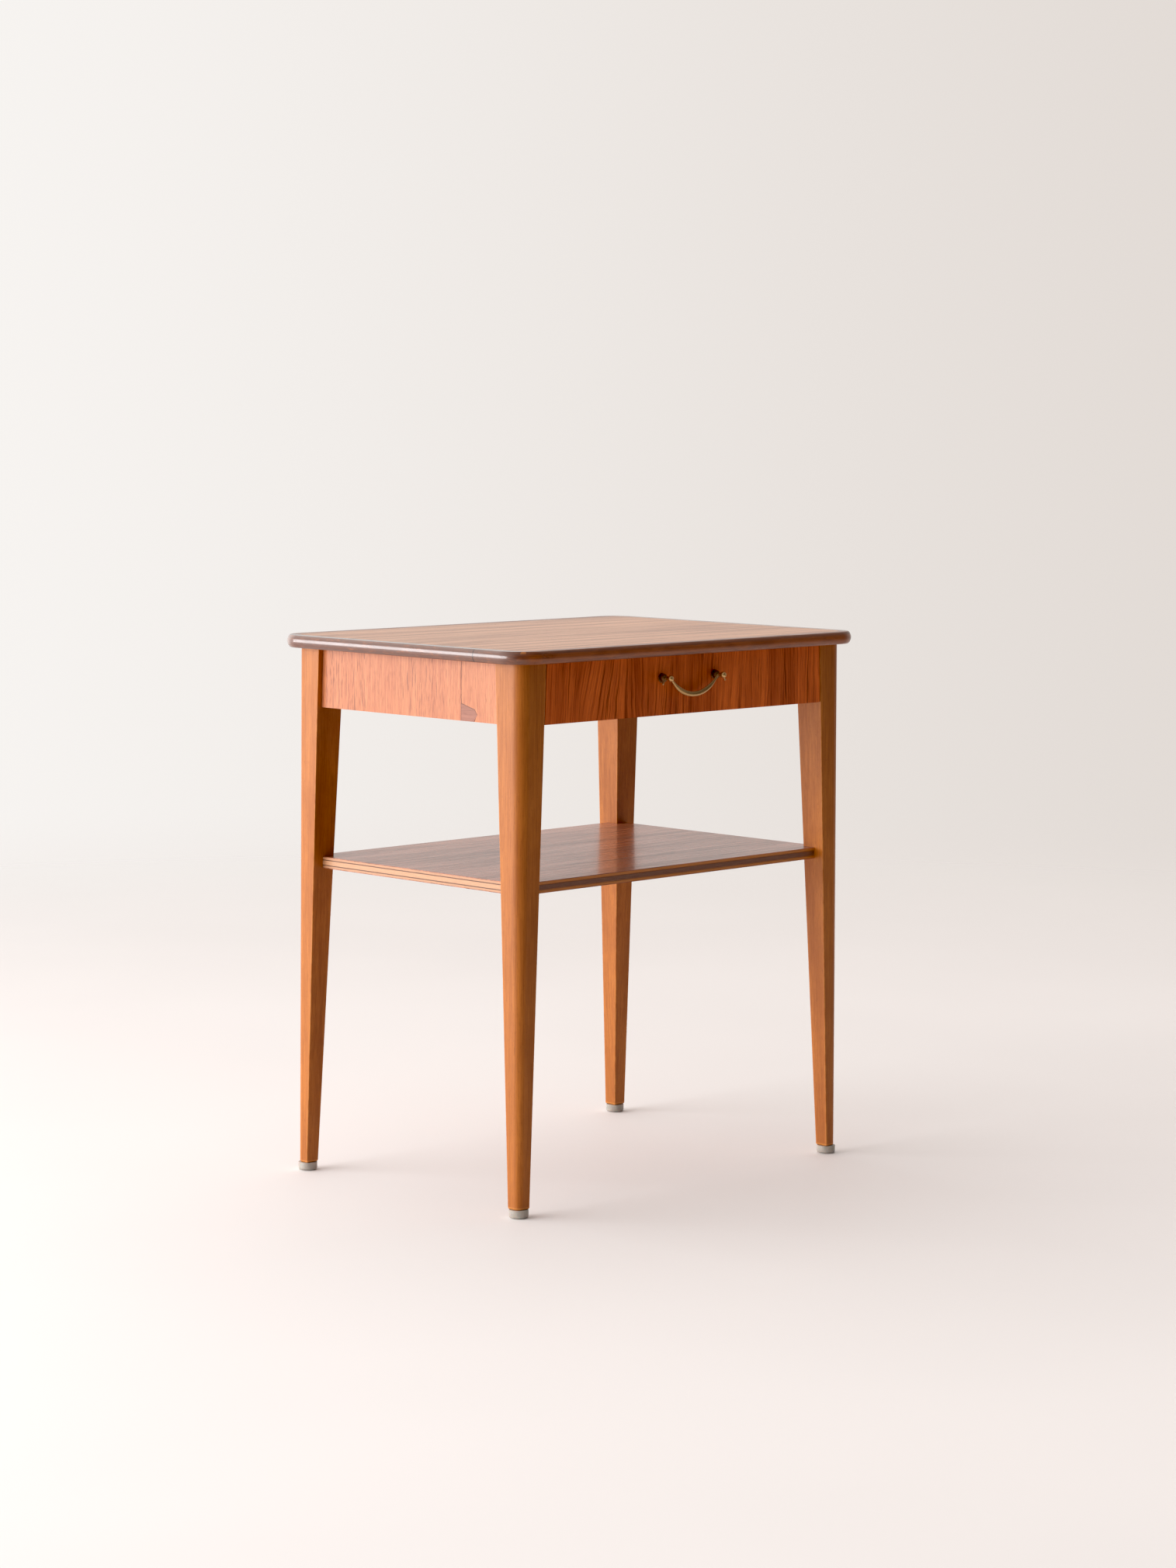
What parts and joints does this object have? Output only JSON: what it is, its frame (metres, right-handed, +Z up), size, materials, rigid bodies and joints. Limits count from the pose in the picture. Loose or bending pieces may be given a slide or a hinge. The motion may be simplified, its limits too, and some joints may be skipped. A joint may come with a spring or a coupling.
{
  "type": "side table with drawer",
  "caption": "Small rectangular side table with tapered legs on round glides, a lipped top, a full-height drawer front with a swinging bail handle, and an open low shelf.",
  "frame": {"origin": "on the floor under the middle of the table", "axes": "+X to the right seen from the drawer side, -Y towards the drawer side, +Z up"},
  "size_m": [0.514, 0.37, 0.57],
  "materials": {
    "leg_wood": "satin varnish",
    "lipping": "satin varnish",
    "top_veneer": "satin varnish",
    "apron_veneer": "satin varnish",
    "patch_veneer": "satin varnish",
    "drawer_veneer": "satin varnish",
    "shelf_veneer": "gloss varnish",
    "plywood": "varnished edge",
    "core_wood": "plain",
    "pale_wood": "plain",
    "bottom_ply": "plain",
    "brass": "aged",
    "steel": "dull",
    "glide_plastic": "scuffed"
  },
  "bodies": {
    "frame": {"top_core": "core_wood", "top_veneer": "top_veneer", "top_backing": "core_wood", "lipping_front": "lipping", "lipping_rear": "lipping", "leg_front_left": "leg_wood", "leg_front_right": "leg_wood", "leg_rear_left": "leg_wood", "leg_rear_right": "leg_wood", "glides": "glide_plastic", "glide_nails": "steel", "apron_left": "core_wood", "apron_left_veneer": "apron_veneer", "apron_left_patch": "patch_veneer", "apron_right": "core_wood", "apron_right_veneer": "apron_veneer", "apron_rear": "core_wood", "apron_rear_veneer": "apron_veneer", "apron_dowels": "pale_wood", "front_rail": "pale_wood", "kicker_left": "pale_wood", "kicker_right": "pale_wood", "rear_cleat": "pale_wood", "top_screws": "steel", "runner_left": "pale_wood", "runner_right": "pale_wood", "runner_screws": "steel", "drawer_stops": "pale_wood", "shelf_core": "plywood", "shelf_veneer_top": "shelf_veneer", "shelf_veneer_under": "shelf_veneer"},
    "drawer": {"drawer_front": "core_wood", "drawer_front_veneer": "drawer_veneer", "drawer_side_left": "pale_wood", "drawer_side_right": "pale_wood", "drawer_back": "pale_wood", "drawer_bottom": "bottom_ply", "bottom_screws": "steel", "handle_post_left": "brass", "handle_post_right": "brass", "handle_washers": "steel", "handle_nuts": "steel"},
    "bail": {"handle_bail": "brass"}
  },
  "joints": [
    {"name": "drawer_slide", "type": "slide", "parent": "frame", "child": "drawer", "axis": [0, -1, 0], "range_m": [0, 0.2]},
    {"name": "bail_swing", "type": "hinge", "parent": "drawer", "child": "bail", "pos_m": [0, -0.1775, 0.5335], "axis": [-1, 0, 0], "range_deg": [-6, 120]}
  ]
}
